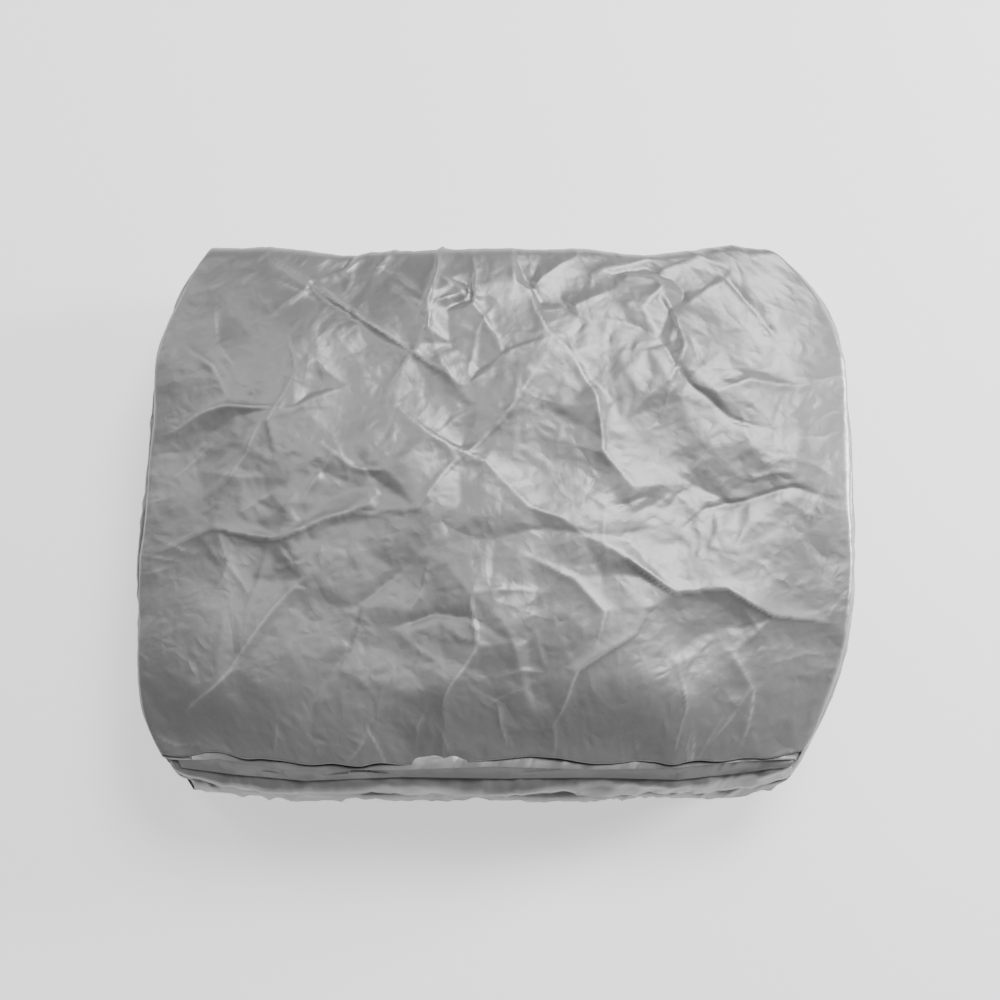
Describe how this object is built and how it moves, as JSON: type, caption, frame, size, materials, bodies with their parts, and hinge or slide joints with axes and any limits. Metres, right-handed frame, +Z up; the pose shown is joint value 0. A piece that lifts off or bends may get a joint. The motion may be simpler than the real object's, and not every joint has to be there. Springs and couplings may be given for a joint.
{
  "type": "folded car cover",
  "caption": "Car cover of thin silver-grey film, folded to a strip and then back and forth into a low soft pack that rests flat.",
  "frame": {"origin": "under the middle of the pack, on the surface it rests on", "axes": "+Z up, +X along the pack's long side, -Y to the front, where the strip's free ends lie"},
  "size_m": [0.3988, 0.314, 0.0848],
  "materials": {
    "silver_film": "thin plastic film with a satin sheen, crinkled by folding"
  },
  "bodies": {
    "root": {"folded_cover": "silver_film"}
  },
  "joints": []
}
